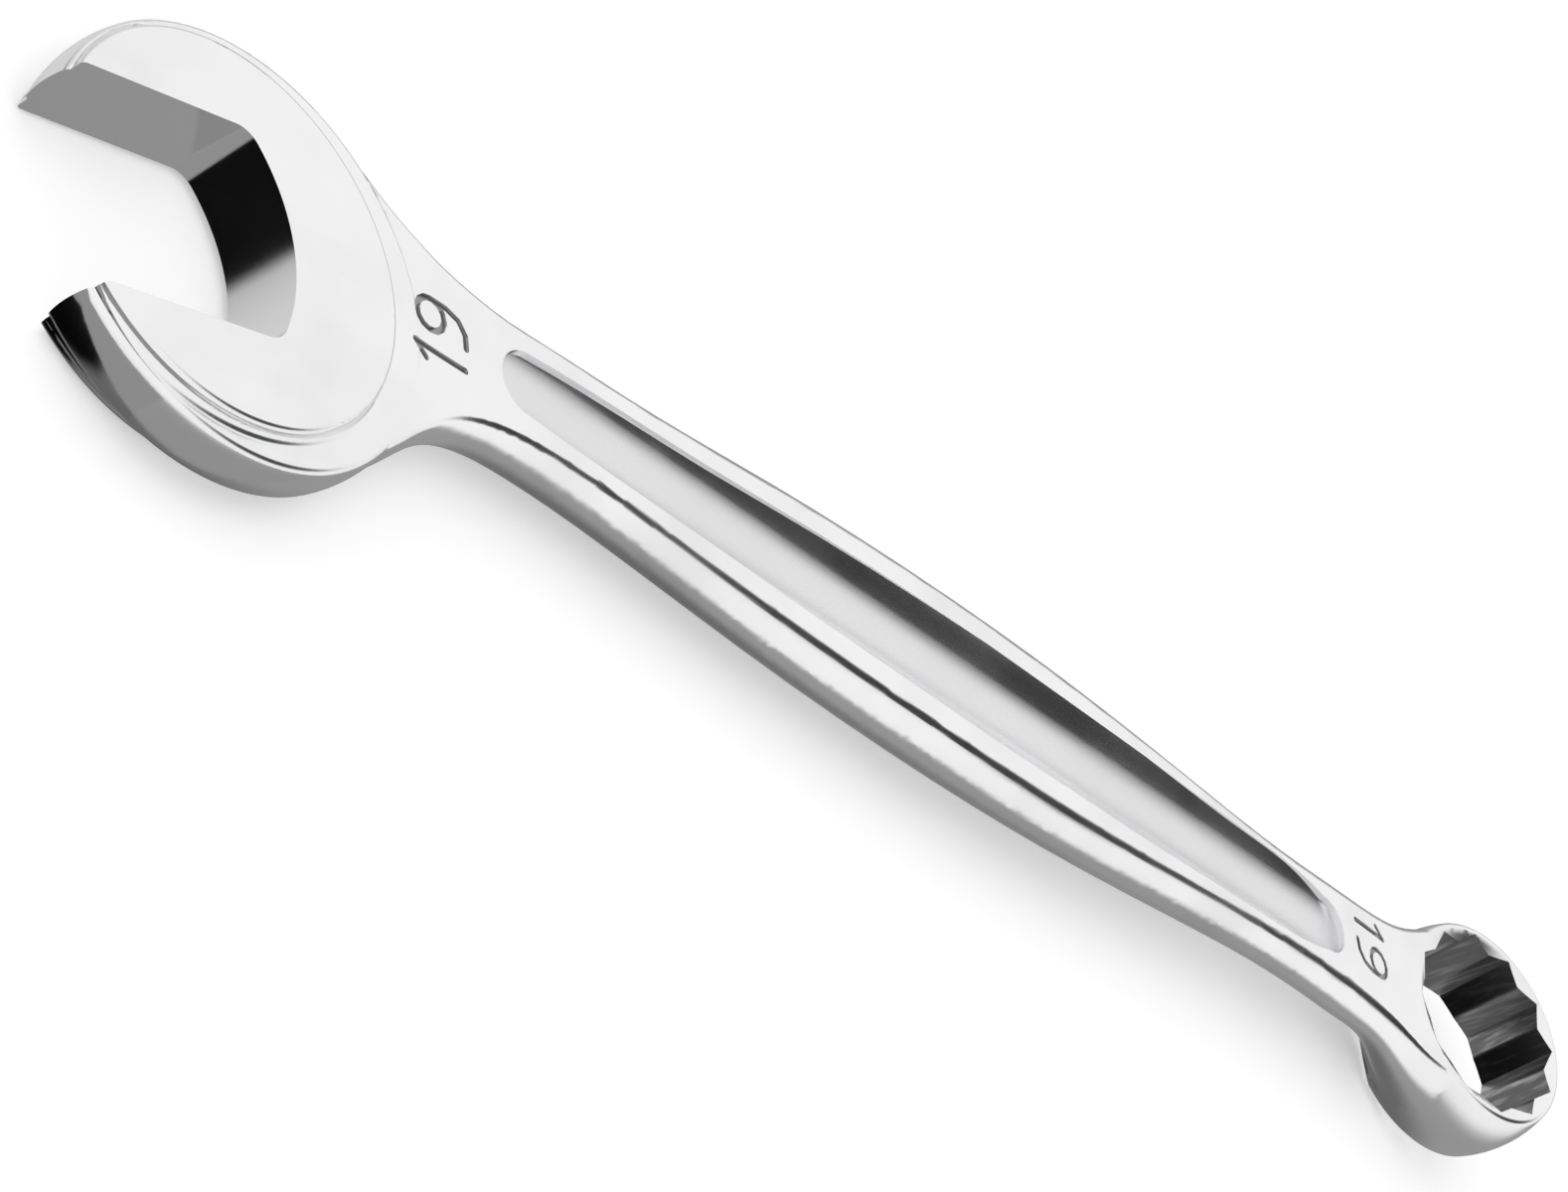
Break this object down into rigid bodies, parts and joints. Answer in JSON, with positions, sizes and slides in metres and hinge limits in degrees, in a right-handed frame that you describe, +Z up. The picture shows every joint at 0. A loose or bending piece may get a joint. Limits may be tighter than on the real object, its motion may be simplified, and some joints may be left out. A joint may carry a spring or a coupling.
{
  "type": "combination wrench",
  "caption": "Combination wrench: angled open jaws at one end, tilted twelve-point ring at the other, on a recessed bowed shank.",
  "frame": {"origin": "middle of the underside of the outline, on the table the wrench lies on", "axes": "+X from the open jaws to the ring, +Z up as the wrench lies on a table; the shank rises 1.2 degrees toward the ring"},
  "size_m": [0.2188, 0.04, 0.014],
  "materials": {
    "polished_chrome": "satin chrome plate, open-end head",
    "satin_chrome": "satin chrome plate, shank",
    "ring_chrome": "satin chrome plate, ring head"
  },
  "bodies": {
    "root": {"open_end_head": "polished_chrome", "shank": "satin_chrome", "ring_head": "ring_chrome"}
  },
  "joints": []
}
